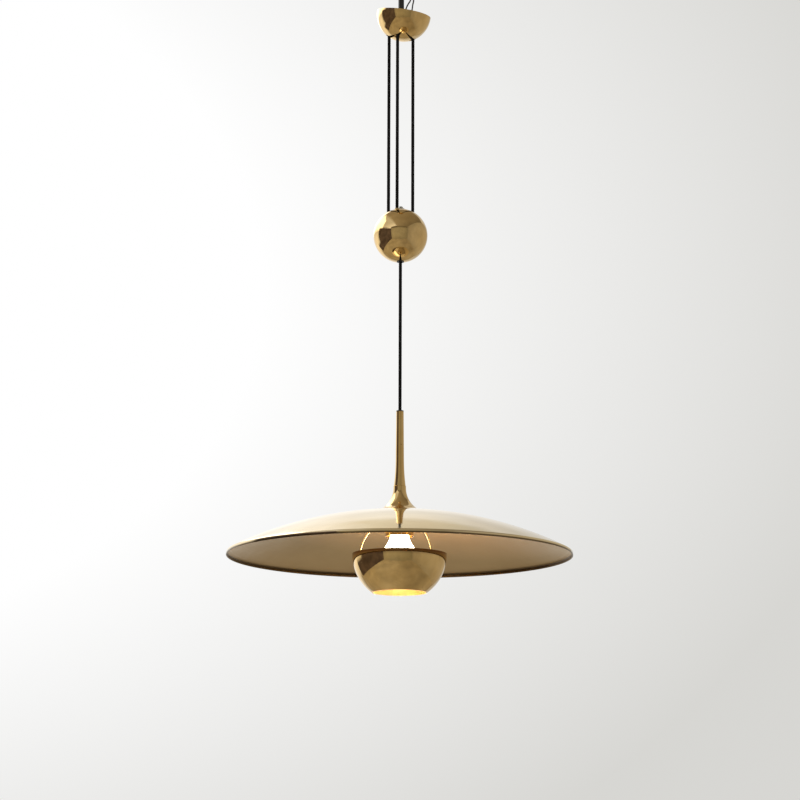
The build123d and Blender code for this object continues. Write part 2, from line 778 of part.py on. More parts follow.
# Stem: trumpet base on the dome, tapered tube above it and the cord grip on top
flare_centre = (flare_throat_r + flare_r, dome_top - flare_sink + flare_r)
flare_sweep = 90 - degrees(asin((flare_centre[0] - flare_base_r) / flare_r))
flare_edge_z = flare_centre[1] - sphere_z(flare_r, flare_centre[0] - flare_base_r)
cavity_r = flare_base_r - flare_land
cavity_arc_r = flare_r + flare_wall
cavity_foot_z = flare_centre[1] - sphere_z(cavity_arc_r, flare_centre[0] - cavity_r)
hub_z = seam_z - flare_hub_h
hub_cavity_r = flare_centre[0] - sphere_z(cavity_arc_r, flare_centre[1] - hub_z)
cavity_top_angle = 180 + degrees(asin((flare_centre[1] - hub_z) / cavity_arc_r))
cavity_foot_angle = 270 - degrees(asin((flare_centre[0] - cavity_r) / cavity_arc_r))
seat_r = dome_r + seat_gap
seat_angles = [degrees(acos(at / seat_r)) for at in (flare_base_r, cavity_r)]
seat_base_z = dome_centre_z + sphere_z(seat_r, flare_base_r)
seat_cavity_z = dome_centre_z + sphere_z(seat_r, cavity_r)
with BuildPart() as trumpet_base:
    with BuildSketch(section_of(lamp_plane)):
        with BuildLine():
            CenterArc(flare_centre, flare_r, 180, flare_sweep)
            Line((flare_base_r, flare_edge_z), (flare_base_r, seat_base_z))
            CenterArc((0, dome_centre_z), seat_r, seat_angles[0], seat_angles[1] - seat_angles[0])
            Line((cavity_r, seat_cavity_z), (cavity_r, cavity_foot_z))
            CenterArc(flare_centre, cavity_arc_r, cavity_top_angle, cavity_foot_angle - cavity_top_angle)
            Polyline(
                (hub_cavity_r, hub_z),
                (nipple_hole_r, hub_z),
                (nipple_hole_r, seam_z),
                (flare_throat_r, seam_z),
                (flare_throat_r, flare_centre[1]),
            )
        make_face()
    revolve(axis=axis_of(lamp_plane))
save(trumpet_base, "trumpet_base")

nipple_top_z = seam_z + nipple_engage
grip_seat_z = stem_top_z - grip_spigot_l
with BuildPart() as stem_tube:
    with BuildSketch(section_of(lamp_plane)):
        with BuildLine():
            Line((stem_top_r, stem_top_z), (stem_waist_r, stem_waist_z))
            TangentArc(
                (stem_waist_r, stem_waist_z),
                (stem_foot_r, seam_z),
                tangent=(stem_waist_r - stem_top_r, stem_waist_z - stem_top_z),
            )
            Polyline(
                (stem_foot_r, seam_z),
                (nipple_hole_r, seam_z),
                (nipple_hole_r, nipple_top_z),
                (stem_bore_r, nipple_top_z),
                (stem_bore_r, grip_seat_z),
                (grip_spigot_r + press_gap, grip_seat_z),
                (grip_spigot_r + press_gap, stem_top_z),
                (stem_top_r, stem_top_z),
            )
        make_face()
    revolve(axis=axis_of(lamp_plane))
    foot_edges = stem_tube.edges().filter_by(GeomType.CIRCLE).group_by(Axis.Z)[0]
    chamfer(foot_edges.sort_by(SortBy.RADIUS)[-1], stem_chamfer)
save(stem_tube, "stem_tube")

grip_top_z = stem_top_z + grip_flange_t
with BuildPart() as cord_grip:
    with BuildSketch(lamp_plane.offset(grip_seat_z)):
        Circle(grip_spigot_r)
    extrude(amount=grip_spigot_l)
    with BuildSketch(lamp_plane.offset(stem_top_z)):
        Circle(stem_top_r)
    extrude(amount=grip_flange_t)
    fillet(cord_grip.edges().group_by(Axis.Z)[-1], grip_round)
    with BuildSketch(lamp_plane.offset(grip_seat_z)):
        Circle(cord_r + seat_gap)
    extrude(amount=grip_spigot_l + grip_flange_t, mode=Mode.SUBTRACT)
save(cord_grip, "cord_grip")

# Stack under the dome: washer, nut, holder cup, lampholder and the threaded tube through them all
washer_top_z = dome_inner_z(shade_washer_r)
nut_top_z = washer_top_z - shade_washer_t
cup_top_z = nut_top_z - nipple_nut_h
holder_top_z = cup_top_z - cup_holder_top
cavity_top_z = holder_top_z - holder_top_wall
holder_foot_z = holder_top_z - holder_h
holder_r = cup_holder_r - cup_holder_wall - seat_gap
nipple_foot_z = holder_top_z - nipple_in_holder
with BuildPart() as stem_nipple:
    with BuildSketch(lamp_plane.offset(nipple_foot_z)):
        Circle(nipple_r)
        Circle(nipple_bore_r, mode=Mode.SUBTRACT)
    extrude(amount=nipple_top_z - nipple_foot_z)
save(stem_nipple, "stem_nipple")

with BuildPart() as shade_washer:
    with BuildSketch(lamp_plane.offset(nut_top_z)):
        Circle(shade_washer_r)
        Circle(nipple_hole_r, mode=Mode.SUBTRACT)
    extrude(amount=shade_washer_t)
save(shade_washer, "shade_washer")

with BuildPart() as nipple_nut:
    with BuildSketch(lamp_plane.offset(cup_top_z)):
        RegularPolygon(nipple_nut_flats / 2, 6, major_radius=False)
        Circle(nipple_hole_r, mode=Mode.SUBTRACT)
    extrude(amount=nipple_nut_h)
save(nipple_nut, "nipple_nut")

with BuildPart() as holder_cup:
    with BuildSketch(lamp_plane.offset(cup_top_z)):
        Circle(cup_holder_r)
    extrude(amount=-cup_holder_h)
    fillet(holder_cup.edges().group_by(Axis.Z)[-1], cup_holder_wall * 2)
    with BuildSketch(lamp_plane.offset(holder_top_z)):
        Circle(cup_holder_r - cup_holder_wall)
    extrude(amount=-cup_holder_h, mode=Mode.SUBTRACT)
    with BuildSketch(lamp_plane.offset(cup_top_z)):
        Circle(nipple_hole_r)
    extrude(amount=-cup_holder_h, mode=Mode.SUBTRACT)
save(holder_cup, "holder_cup")

with BuildPart() as lampholder:
    with BuildSketch(lamp_plane.offset(holder_top_z)):
        Circle(holder_r)
        Circle(nipple_hole_r, mode=Mode.SUBTRACT)
    extrude(amount=-holder_h)
    with BuildSketch(lamp_plane.offset(cavity_top_z)):
        Circle(holder_cavity_r)
    extrude(amount=-holder_h, mode=Mode.SUBTRACT)
save(lampholder, "lampholder")

shell_r = holder_cavity_r - seat_gap
shell_bore_r = shell_r - screw_shell_wall
contact_z = cavity_top_z - contact_t
with BuildPart() as screw_shell:
    with BuildSketch(lamp_plane.offset(contact_z - seat_gap)):
        Circle(shell_r)
        Circle(shell_bore_r, mode=Mode.SUBTRACT)
    extrude(amount=-screw_shell_h)
save(screw_shell, "screw_shell")

with BuildPart() as centre_contact:
    with BuildSketch(lamp_plane.offset(contact_z)):
        SlotOverall(contact_l, contact_w)
    extrude(amount=contact_t)
save(centre_contact, "centre_contact")

# Bulb: a pear of frosted glass in a screw cap
cap_r = shell_bore_r - bulb_cap_gap
cap_top_z = contact_z - seat_gap - bulb_tip_cone
cap_foot_z = cap_top_z - bulb_cap_l
with BuildPart() as bulb_cap:
    with BuildSketch(section_of(lamp_plane)):
        with BuildLine():
            Polyline(
                (0, cap_top_z + bulb_tip_cone),
                (bulb_tip_r, cap_top_z + bulb_tip_cone),
                (cap_r - bulb_cap_wall, cap_top_z),
                (cap_r, cap_top_z - bulb_cap_wall),
                (cap_r, cap_foot_z),
                (cap_r - bulb_cap_wall, cap_foot_z),
                (cap_r - bulb_cap_wall, cap_top_z - bulb_tip_cone),
                (0, cap_top_z - bulb_tip_cone),
                close=True,
            )
        make_face()
    revolve(axis=axis_of(lamp_plane))
save(bulb_cap, "bulb_cap")

bulb_bottom_z = cap_foot_z - bulb_l
bulb_centre_z = bulb_bottom_z + bulb_r
bulb_mouth_r = cap_r - bulb_cap_wall - seat_gap


def bulb_face(inset):
    """Half section of the glass, moved inwards by the inset."""
    shoulder_r = bulb_shoulder_r - inset
    turn = radians(bulb_shoulder_angle)
    shoulder = (
        bulb_r - bulb_shoulder_r + shoulder_r * cos(turn),
        bulb_centre_z + shoulder_r * sin(turn),
    )
    neck_r = bulb_neck_r - inset
    throat_z = shoulder[1] + (shoulder[0] - neck_r) * sin(turn) / (1 - cos(turn))
    top_z = cap_foot_z - seat_gap - inset
    with BuildSketch(section_of(lamp_plane)) as section:
        with BuildLine():
            CenterArc((0, bulb_centre_z), bulb_r - inset, -90, 90)
            CenterArc((bulb_r - bulb_shoulder_r, bulb_centre_z), shoulder_r, 0, bulb_shoulder_angle)
            TangentArc(shoulder, (neck_r, throat_z), tangent=(-sin(turn), cos(turn)))
            Polyline((neck_r, throat_z), (neck_r, top_z), (0, top_z), (0, bulb_bottom_z + inset))
        make_face()
    return section.sketch


with BuildPart() as bulb_glass:
    revolve(bulb_face(0), axis=axis_of(lamp_plane))
    with BuildSketch(lamp_plane.offset(cap_foot_z - seat_gap)):
        Circle(bulb_mouth_r)
    extrude(amount=bulb_seam)
    revolve(bulb_face(bulb_wall), axis=axis_of(lamp_plane), mode=Mode.SUBTRACT)
save(bulb_glass, "bulb_glass")

# Reflector bowl: a half ball open below, carried by three wires from a ring on the holder cup
bowl_in_r = bowl_r - bowl_wall
bowl_depth = sphere_z(bowl_r, bowl_mouth_r)
mouth_angle = degrees(asin(bowl_depth / bowl_r))
inner_mouth_angle = degrees(asin(bowl_depth / bowl_in_r))
hem_angle = degrees(asin(bowl_hem_h / bowl_in_r))
hem_r = sphere_z(bowl_in_r, bowl_hem_h)
with BuildPart() as reflector_bowl:
    with BuildSketch(section_of(lamp_plane.offset(bowl_rim_z))):
        with BuildLine():
            CenterArc((0, 0), bowl_r, -mouth_angle, mouth_angle)
            CenterArc((0, 0), bowl_in_r, -inner_mouth_angle, inner_mouth_angle - hem_angle)
            Line((sphere_z(bowl_r, bowl_depth), -bowl_depth), (sphere_z(bowl_in_r, bowl_depth), -bowl_depth))
            Polyline(
                (hem_r, -bowl_hem_h),
                (bowl_r - bowl_hem_wall, -bowl_hem_h),
                (bowl_r - bowl_hem_wall, 0),
                (bowl_r, 0),
            )
        make_face()
    revolve(axis=axis_of(lamp_plane))
save(reflector_bowl, "reflector_bowl")

ring_in_r = cup_holder_r + press_gap
ring_r = ring_in_r + ring_wall
ring_mid_z = cup_top_z - ring_drop
wire_r = wire_d / 2
wire_circle_r = bowl_r - wire_inset
wire_top_r = ring_r - wire_in_ring
wire_centre_z = ring_mid_z - sphere_z(wire_circle_r, wire_top_r)
wire_foot_z = bowl_rim_z - wire_foot_drop
wire_top_angle = degrees(acos(wire_top_r / wire_circle_r))
wire_foot_angle = degrees(asin((wire_foot_z - wire_centre_z) / wire_circle_r))


def sweep_wire(azimuth, radius, mode):
    """One reflector wire: an arc in the upright plane at this azimuth."""
    heading = Vector(cos(radians(azimuth)), sin(radians(azimuth)), 0)
    side = Vector(sin(radians(azimuth)), -cos(radians(azimuth)), 0)
    wire_plane = Plane(origin=lamp_plane.origin, x_dir=heading, z_dir=side)
    with BuildLine(wire_plane) as wire_line:
        CenterArc((0, wire_centre_z), wire_circle_r, wire_foot_angle, wire_top_angle - wire_foot_angle)
    wire_edge = wire_line.edge()
    with BuildSketch(Plane(origin=wire_edge @ 0, z_dir=wire_edge % 0)) as section:
        Circle(radius)
    sweep(section.sketch, path=wire_edge, mode=mode)


for wire_name, wire_azimuth in zip(wire_names, wire_azimuths):
    with BuildPart() as wire:
        sweep_wire(wire_azimuth, wire_r, Mode.ADD)
    save(wire, wire_name)

with BuildPart() as wire_ring:
    with BuildSketch(lamp_plane.offset(ring_mid_z - ring_h / 2)):
        Circle(ring_r)
        Circle(ring_in_r, mode=Mode.SUBTRACT)
    extrude(amount=ring_h)
    for wire_azimuth in wire_azimuths:
        sweep_wire(wire_azimuth, wire_r + press_gap, Mode.SUBTRACT)
save(wire_ring, "wire_ring")

lug_in_r = sphere_z(wire_circle_r, wire_foot_z - wire_centre_z) - wire_r - lug_bowl_inset
lug_length = bowl_r - lug_in_r
with BuildPart() as reflector_lugs:
    with BuildSketch(lamp_plane.offset(bowl_rim_z - lug_bowl_drop)):
        for wire_azimuth in wire_azimuths:
            with Locations(Location((0, 0, 0), (0, 0, wire_azimuth))):
                with Locations((lug_in_r + lug_length / 2, 0)):
                    Rectangle(lug_length, lug_bowl_w)
    extrude(amount=-lug_bowl_h)
    with Locations(Location(lamp_plane.offset(bowl_rim_z))):
        Sphere(bowl_in_r - press_gap, mode=Mode.INTERSECT)
    for wire_azimuth in wire_azimuths:
        sweep_wire(wire_azimuth, wire_r + press_gap, Mode.SUBTRACT)
save(reflector_lugs, "reflector_lugs")

# Lower strand, from the ball through the cord grip and the stem to the lampholder
make_strand(0, 0, -weight_drop + exit_bush_bottom, -lamp_drop + nipple_foot_z, "strand_lower")
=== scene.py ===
import json
from math import cos, pi, radians, sin

import bmesh
import bpy
from mathutils import Matrix, Vector


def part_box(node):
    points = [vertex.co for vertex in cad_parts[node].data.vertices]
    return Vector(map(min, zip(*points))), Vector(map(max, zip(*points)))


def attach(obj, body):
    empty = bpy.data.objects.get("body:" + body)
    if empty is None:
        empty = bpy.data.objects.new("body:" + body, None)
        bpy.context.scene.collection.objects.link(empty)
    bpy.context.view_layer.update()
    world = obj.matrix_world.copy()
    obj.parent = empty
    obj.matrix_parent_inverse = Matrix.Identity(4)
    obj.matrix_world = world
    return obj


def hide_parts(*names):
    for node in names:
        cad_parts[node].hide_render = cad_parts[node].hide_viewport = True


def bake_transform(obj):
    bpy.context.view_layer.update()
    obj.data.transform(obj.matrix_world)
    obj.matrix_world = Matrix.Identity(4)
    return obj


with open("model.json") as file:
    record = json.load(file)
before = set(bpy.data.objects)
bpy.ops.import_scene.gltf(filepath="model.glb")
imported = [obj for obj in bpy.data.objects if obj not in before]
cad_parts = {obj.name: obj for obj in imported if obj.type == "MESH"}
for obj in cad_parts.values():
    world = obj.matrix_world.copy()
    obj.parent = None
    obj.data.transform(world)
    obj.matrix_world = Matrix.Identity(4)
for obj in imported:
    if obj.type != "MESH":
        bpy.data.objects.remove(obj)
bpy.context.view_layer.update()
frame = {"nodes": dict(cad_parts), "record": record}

nodes = frame["nodes"]
scene = bpy.context.scene

# Driving sizes in metres, the same as those of the solids
cord_d = 0.0052
lead_d = 0.0024
strand_x = 0.020
strap_azimuth = radians(35)
canopy_pitch_r = 0.01575
canopy_axle_z = -0.057
weight_axle_z = -0.421
clamp_top_z = -0.040
ball_z = -0.429
ball_r = 0.0445
guide_rise = 0.041
exit_flange_t = 0.0006
guide_top_z = ball_z + guide_rise
cord_exit_z = ball_z - ball_r - exit_flange_t
lamp_z = -0.961
dome_centre_z = lamp_z - 0.528
lip_h = 0.0053
hem_line_h = 0.0024
hem_fold_h = 0.0026
hem_blur = 0.0007
fold_blur = 0.0004
bowl_rim_z = lamp_z + 0.005
# Band below the bowl's rim, painted as a dark reflection
rim_band_foot = 0.009
rim_band_top = 0.002
stem_hold_z = lamp_z + 0.140
neck_foot_z = lamp_z + 0.028
neck_top_z = lamp_z + 0.040
seam_gap = 0.00005

# Directions of the ceiling strap
along = Vector((cos(strap_azimuth), sin(strap_azimuth), 0))
outward = Vector((sin(strap_azimuth), -cos(strap_azimuth), 0))
up = Vector((0, 0, 1))
strand_u = strand_x * cos(strap_azimuth)
strand_w = strand_x * sin(strap_azimuth)
canopy_pulley_u = strand_u - canopy_pitch_r
feed_u = canopy_pulley_u - canopy_pitch_r
feed = along * feed_u + outward * strand_w

# Camera at the photograph's place
camera_place = (0, -3.107, -1.375)
camera_pitch = radians(102.16)
camera_roll = radians(0.17)
camera_lens = 88.5
camera_data = bpy.data.cameras.new("camera")
camera_data.lens = camera_lens
camera_data.sensor_width = 36
camera = bpy.data.objects.new("camera", camera_data)
camera.location = camera_place
camera_turn = Matrix.Rotation(camera_pitch, 3, "X") @ Matrix.Rotation(camera_roll, 3, "Z")
camera.rotation_euler = camera_turn.to_euler()
scene.collection.objects.link(camera)
scene.camera = camera

# Range that a noise mostly keeps to, and how softly one side of a sheet gives way to the other
noise_low = 0.3
noise_high = 0.7
side_blur = 0.1


# Node helpers
def shader(name):
    """A new material, its node tree and its main shader."""
    material = bpy.data.materials.new(name)
    material.use_nodes = True
    tree = material.node_tree
    return material, tree, tree.nodes["Principled BSDF"]


def plug(tree, socket, value):
    """Sets a socket to a value, or links another socket to it."""
    if isinstance(value, bpy.types.NodeSocket):
        tree.links.new(value, socket)
    else:
        socket.default_value = value


def add(tree, kind, inputs=None, **settings):
    """A node with its settings, and its inputs set to values or linked to sockets."""
    node = tree.nodes.new(kind)
    for name, value in settings.items():
        setattr(node, name, value)
    for name, value in (inputs or {}).items():
        plug(tree, node.inputs[name], value)
    return node


def place_of(tree):
    """Where a point is in the object's own frame."""
    return add(tree, "ShaderNodeTexCoord").outputs["Object"]


def split(tree, place):
    """The X, Y and Z of a place."""
    return add(tree, "ShaderNodeSeparateXYZ", {"Vector": place}).outputs


def stretched(tree, vector, scale, shift=(0, 0, 0)):
    inputs = {"Vector": vector, "Scale": scale, "Location": shift}
    return add(tree, "ShaderNodeMapping", inputs).outputs["Vector"]


def noise(tree, vector, scale, detail):
    inputs = {"Vector": vector, "Scale": scale, "Detail": detail}
    return add(tree, "ShaderNodeTexNoise", inputs).outputs["Fac"]


def grain(tree, place, scale, detail):
    """A noise that is finer along some axes than along others."""
    return noise(tree, stretched(tree, place, scale), 1, detail)


def remap(tree, value, low, high, to_low, to_high):
    inputs = {"Value": value, "From Min": low, "From Max": high, "To Min": to_low, "To Max": to_high}
    return add(tree, "ShaderNodeMapRange", inputs).outputs["Result"]


def spread(tree, value, to_low=0, to_high=1):
    """A noise, spread over a range."""
    return remap(tree, value, noise_low, noise_high, to_low, to_high)


def calculate(tree, operation, first, second=0):
    return add(tree, "ShaderNodeMath", {0: first, 1: second}, operation=operation).outputs["Value"]


def measure(tree, operation, output, *vectors):
    """One output of a sum with vectors."""
    return add(tree, "ShaderNodeVectorMath", dict(enumerate(vectors)), operation=operation).outputs[output]


def opaque(colour):
    """A colour with its alpha; a socket stays as it is."""
    return colour if isinstance(colour, bpy.types.NodeSocket) else (*colour, 1)


def blend_colour(tree, share, first, second):
    inputs = {"Factor": share, 6: opaque(first), 7: opaque(second)}
    return add(tree, "ShaderNodeMix", inputs, data_type="RGBA").outputs[2]


def blend_value(tree, share, first, second):
    return add(tree, "ShaderNodeMix", {"Factor": share, 2: first, 3: second}).outputs[0]


def relief(tree, height, distance):
    inputs = {"Height": height, "Distance": distance, "Strength": 1.0}
    return add(tree, "ShaderNodeBump", inputs).outputs["Normal"]


def radius_of(tree, place, middle_x=0):
    """How far a point is from an upright line, middle_x to the right of the axis."""
    return measure(tree, "LENGTH", "Value", stretched(tree, place, (1, 1, 0), (-middle_x, 0, 0)))


def ring_lines(tree, place, pitch):
    """Fine rings about the upright axis, as a spinning tool leaves them."""
    turns = calculate(tree, "MULTIPLY", radius_of(tree, place), 1 / pitch)
    inputs = {"W": turns, "Scale": 1.0, "Detail": 2.0}
    return add(tree, "ShaderNodeTexNoise", inputs, noise_dimensions="1D").outputs["Fac"]


def looks_away(tree, place, centre):
    """1 where a surface faces away from a centre, 0 where it faces towards it."""
    spoke = measure(tree, "NORMALIZE", "Vector", measure(tree, "SUBTRACT", "Vector", place, centre))
    normal = add(tree, "ShaderNodeNewGeometry").outputs["Normal"]
    share = measure(tree, "DOT_PRODUCT", "Value", spoke, normal)
    return remap(tree, share, -side_blur, side_blur, 0, 1)


def coat(tree, face, tone, rough, normal, metallic=0):
    """Gives a shader its colour, roughness, relief and share of metal."""
    inputs = {"Base Color": tone, "Roughness": rough, "Normal": normal, "Metallic": metallic}
    for name, value in inputs.items():
        plug(tree, face.inputs[name], value)


# Colours, singly or as the two that a cloudy surface varies between
brass_bright = (0.80, 0.585, 0.29)
brass_deep = (0.70, 0.47, 0.19)
brass_tarnish = (0.20, 0.10, 0.03)
rim_painted_reflection = (0.22, 0.11, 0.07)
hem_painted_shade = (0.075, 0.045, 0.020)
hem_painted_edge = (0.17, 0.115, 0.055)
painted_glow_tone = (0.89, 0.56, 0.29)
bowl_satin = (0.90, 0.77, 0.43)
shade_bright = ((0.90, 0.77, 0.54), (0.86, 0.70, 0.45))
shade_satin = ((0.66, 0.505, 0.315), (0.58, 0.43, 0.255))
wire_tones = ((0.95, 0.84, 0.58), (0.88, 0.73, 0.44))
plain_tones = ((0.72, 0.55, 0.28), (0.50, 0.36, 0.16))
core_tones = ((0.40, 0.31, 0.17), (0.22, 0.16, 0.08))
zinc_tones = ((0.60, 0.60, 0.58), (0.46, 0.48, 0.50))
paint_tones = ((0.012, 0.012, 0.013), (0.035, 0.033, 0.03))
plastic_tones = ((0.012, 0.012, 0.012), (0.028, 0.027, 0.026))
nylon_tones = ((0.78, 0.75, 0.67), (0.70, 0.67, 0.58))
sleeve_tones = ((0.010, 0.010, 0.010), (0.020, 0.019, 0.018))
yarn_tones = ((0.004, 0.004, 0.004), (0.014, 0.013, 0.012))
dust_tone = (0.045, 0.042, 0.038)
glaze_tones = ((0.84, 0.83, 0.79), (0.79, 0.77, 0.72))
speck_tone = (0.45, 0.38, 0.30)
bulb_tone = (0.92, 0.90, 0.85)
bulb_glow = ((1.0, 0.86, 0.62), (1.0, 0.72, 0.38))
floor_tones = ((0.74, 0.735, 0.72), (0.68, 0.675, 0.66))

# Bulb's brightness at its middle and at its neck, and the patch of painted bulb glow near it inside the shade
glow_middle = 14
glow_neck = 8
glow_patch_x = 0.035
glow_patch_inner_r = 0.10
glow_patch_outer_r = 0.225


# Materials
def make_polished_brass(name, centre=None):
    """Polished brass with a cloudy hand-wiped film, hairline rings and a few dark specks.

    Where a centre is given, the side that faces it is satin, and a band outside just below the rim level with
    it is painted brown, a painted reflection of the dark shade above.
    """
    material, tree, face = shader(name)
    place = place_of(tree)
    film = noise(tree, place, scale=22, detail=4)
    wipes = grain(tree, place, scale=(60, 60, 260), detail=5)
    specks = remap(tree, noise(tree, place, scale=260, detail=2), 0.73, 0.77, 0, 0.8)
    tone = blend_colour(tree, spread(tree, film), brass_bright, brass_deep)
    tone = blend_colour(tree, specks, tone, brass_tarnish)
    smear = remap(tree, calculate(tree, "MULTIPLY", film, wipes), 0.12, 0.42, 0.03, 0.10)
    rough = calculate(tree, "MAXIMUM", smear, calculate(tree, "MULTIPLY", specks, 0.5))
    if centre is not None:
        outside = looks_away(tree, place, centre)
        height = split(tree, place)["Z"]
        # A band just below the rim is painted brown: a painted reflection of the dark inside of the shade.
        rim_reflection_band = remap(tree, height, centre[2] - rim_band_foot, centre[2] - rim_band_top, 0, 0.8)
        rough = blend_value(tree, outside, spread(tree, film, 0.33, 0.38), rough)
        tone = blend_colour(tree, rim_reflection_band, tone, rim_painted_reflection)
        tone = blend_colour(tree, outside, bowl_satin, tone)
    rings = ring_lines(tree, place, pitch=0.0009)
    coat(tree, face, tone, rough, relief(tree, rings, distance=0.000004), metallic=1)
    return material


def make_wire_brass():
    """Drawn brass wire, satin, with faint lines along it."""
    material, tree, face = shader("wire_brass")
    place = place_of(tree)
    film = noise(tree, place, scale=140, detail=4)
    lines = grain(tree, place, scale=(3000, 3000, 120), detail=2)
    tone = blend_colour(tree, film, *wire_tones)
    coat(tree, face, tone, spread(tree, lines, 0.40, 0.55), relief(tree, lines, distance=0.00001), metallic=1)
    return material


def make_shade_brass():
    """Spun sheet brass: mirror bright outside, satin with plain rings inside, its hem painted dark with
    painted shade and reflection.

    Inside, a patch near the bulb, a little to its right, is painted warmer and less metallic: a painted glow
    of the bulb's light.
    """
    material, tree, face = shader("shade_brass")
    place = place_of(tree)
    height = split(tree, place)["Z"]
    film = noise(tree, place, scale=9, detail=4)
    wipes = noise(tree, place, scale=55, detail=5)
    rings = ring_lines(tree, place, pitch=0.0022)
    outside = looks_away(tree, place, (0, 0, dome_centre_z))
    bright = blend_colour(tree, remap(tree, film, 0.35, 0.65, 0, 1), *shade_bright)
    satin = blend_colour(tree, spread(tree, film), *shade_satin)
    # A painted glow of the bulb's light: inside the shade, round a point right of the axis, the satin is
    # painted warmer and made less metallic.
    glow_reach = remap(tree, radius_of(tree, place, glow_patch_x), glow_patch_inner_r, glow_patch_outer_r, 1, 0)
    painted_glow = calculate(tree, "SUBTRACT", glow_reach, outside)
    satin = blend_colour(tree, painted_glow, satin, painted_glow_tone)
    # The hem is painted dark: inside the lip a painted shade and dark reflection, along its outer foot a
    # darker painted line.
    hem_top = blend_value(tree, outside, lamp_z + lip_h, lamp_z + hem_line_h)
    above_hem = remap(tree, calculate(tree, "SUBTRACT", height, hem_top), -hem_blur, hem_blur, 0, 1)
    fold_z = lamp_z + hem_fold_h
    above_fold = remap(tree, height, fold_z - fold_blur, fold_z + fold_blur, 0, 1)
    tone = blend_colour(tree, outside, satin, bright)
    hem = blend_colour(tree, calculate(tree, "SUBTRACT", above_fold, outside), hem_painted_edge, hem_painted_shade)
    tone = blend_colour(tree, above_hem, hem, tone)
    polish = remap(tree, wipes, 0.3, 0.75, 0.04, 0.10)
    brushed = remap(tree, calculate(tree, "ADD", wipes, rings), 0.7, 1.4, 0.30, 0.42)
    rough = blend_value(tree, outside, brushed, polish)
    metallic = remap(tree, painted_glow, 0, 1, 1, 0.5)
    coat(tree, face, tone, rough, relief(tree, rings, distance=0.000012), metallic)
    return material


def make_plain_brass():
    """Turned brass that was never polished, with tool lines and a dull film."""
    material, tree, face = shader("plain_brass")
    place = place_of(tree)
    film = noise(tree, place, scale=160, detail=4)
    lines = grain(tree, place, scale=(300, 300, 3500), detail=2)
    tone = blend_colour(tree, spread(tree, film), *plain_tones)
    coat(tree, face, tone, spread(tree, film, 0.22, 0.4), relief(tree, lines, distance=0.00001), metallic=1)
    return material


def make_core_metal():
    """A rough casting with a dull, pitted skin."""
    material, tree, face = shader("core_metal")
    skin = noise(tree, place_of(tree), scale=300, detail=6)
    tone = blend_colour(tree, skin, *core_tones)
    coat(tree, face, tone, spread(tree, skin, 0.5, 0.75), relief(tree, skin, distance=0.0002), metallic=1)
    return material


def make_zinc_steel():
    """Zinc-plated steel with a faint bluish bloom and fine scratches."""
    material, tree, face = shader("zinc_steel")
    place = place_of(tree)
    bloom = noise(tree, place, scale=190, detail=4)
    scratches = grain(tree, place, scale=(2600, 300, 300), detail=2)
    tone = blend_colour(tree, spread(tree, bloom), *zinc_tones)
    normal = relief(tree, scratches, distance=0.000006)
    coat(tree, face, tone, spread(tree, bloom, 0.22, 0.38), normal, metallic=1)
    return material


def make_black_steel():
    """Black stoved paint on flat steel, a little orange-peeled."""
    material, tree, face = shader("blackened_steel")
    place = place_of(tree)
    peel = noise(tree, place, scale=900, detail=2)
    wear = noise(tree, place, scale=120, detail=5)
    tone = blend_colour(tree, remap(tree, wear, 0.5, 0.75, 0, 1), *paint_tones)
    coat(tree, face, tone, spread(tree, wear, 0.32, 0.5), relief(tree, peel, distance=0.00003))
    return material


def make_plastic(name, tones, gloss):
    """Moulded plastic with a fine spark-eroded grain."""
    material, tree, face = shader(name)
    place = place_of(tree)
    sparks = noise(tree, place, scale=1800, detail=2)
    cloud = noise(tree, place, scale=140, detail=3)
    tone = blend_colour(tree, cloud, *tones)
    coat(tree, face, tone, spread(tree, cloud, gloss, gloss + 0.12), relief(tree, sparks, distance=0.00003))
    return material


def make_cord_cloth():
    """Black braided yarn: its relief is in the mesh, its fibres and dust in the shader."""
    material, tree, face = shader("black_cord")
    place = place_of(tree)
    fibre = grain(tree, place, scale=(5200, 5200, 1400), detail=3)
    dust = noise(tree, place, scale=420, detail=4)
    tone = blend_colour(tree, remap(tree, fibre, 0.35, 0.7, 0, 1), *yarn_tones)
    tone = blend_colour(tree, remap(tree, dust, 0.62, 0.8, 0, 0.4), tone, dust_tone)
    coat(tree, face, tone, spread(tree, dust, 0.72, 0.9), relief(tree, fibre, distance=0.00008))
    face.inputs["Specular IOR Level"].default_value = 0
    return material


def make_porcelain():
    """White glazed porcelain with faint specks under the glaze."""
    material, tree, face = shader("holder_porcelain")
    place = place_of(tree)
    specks = remap(tree, noise(tree, place, scale=900, detail=2), 0.68, 0.76, 0, 0.5)
    cloud = noise(tree, place, scale=60, detail=3)
    tone = blend_colour(tree, specks, blend_colour(tree, cloud, *glaze_tones), speck_tone)
    coat(tree, face, tone, spread(tree, cloud, 0.08, 0.2), relief(tree, cloud, distance=0.0001))
    face.inputs["Coat Weight"].default_value = 0.5
    return material


def make_opal_glass():
    """A lit opal bulb, a little less bright towards its neck."""
    material, tree, face = shader("opal_glass")
    place = place_of(tree)
    neck = remap(tree, split(tree, place)["Z"], neck_foot_z, neck_top_z, 0, 1)
    cloud = noise(tree, place, scale=70, detail=3)
    even = spread(tree, cloud, 0.94, 1.06)
    strength = calculate(tree, "MULTIPLY", remap(tree, neck, 0, 1, glow_middle, glow_neck), even)
    tree.links.new(blend_colour(tree, neck, *bulb_glow), face.inputs["Emission Color"])
    tree.links.new(strength, face.inputs["Emission Strength"])
    tree.links.new(spread(tree, cloud, 0.25, 0.35), face.inputs["Roughness"])
    face.inputs["Base Color"].default_value = opaque(bulb_tone)
    return material


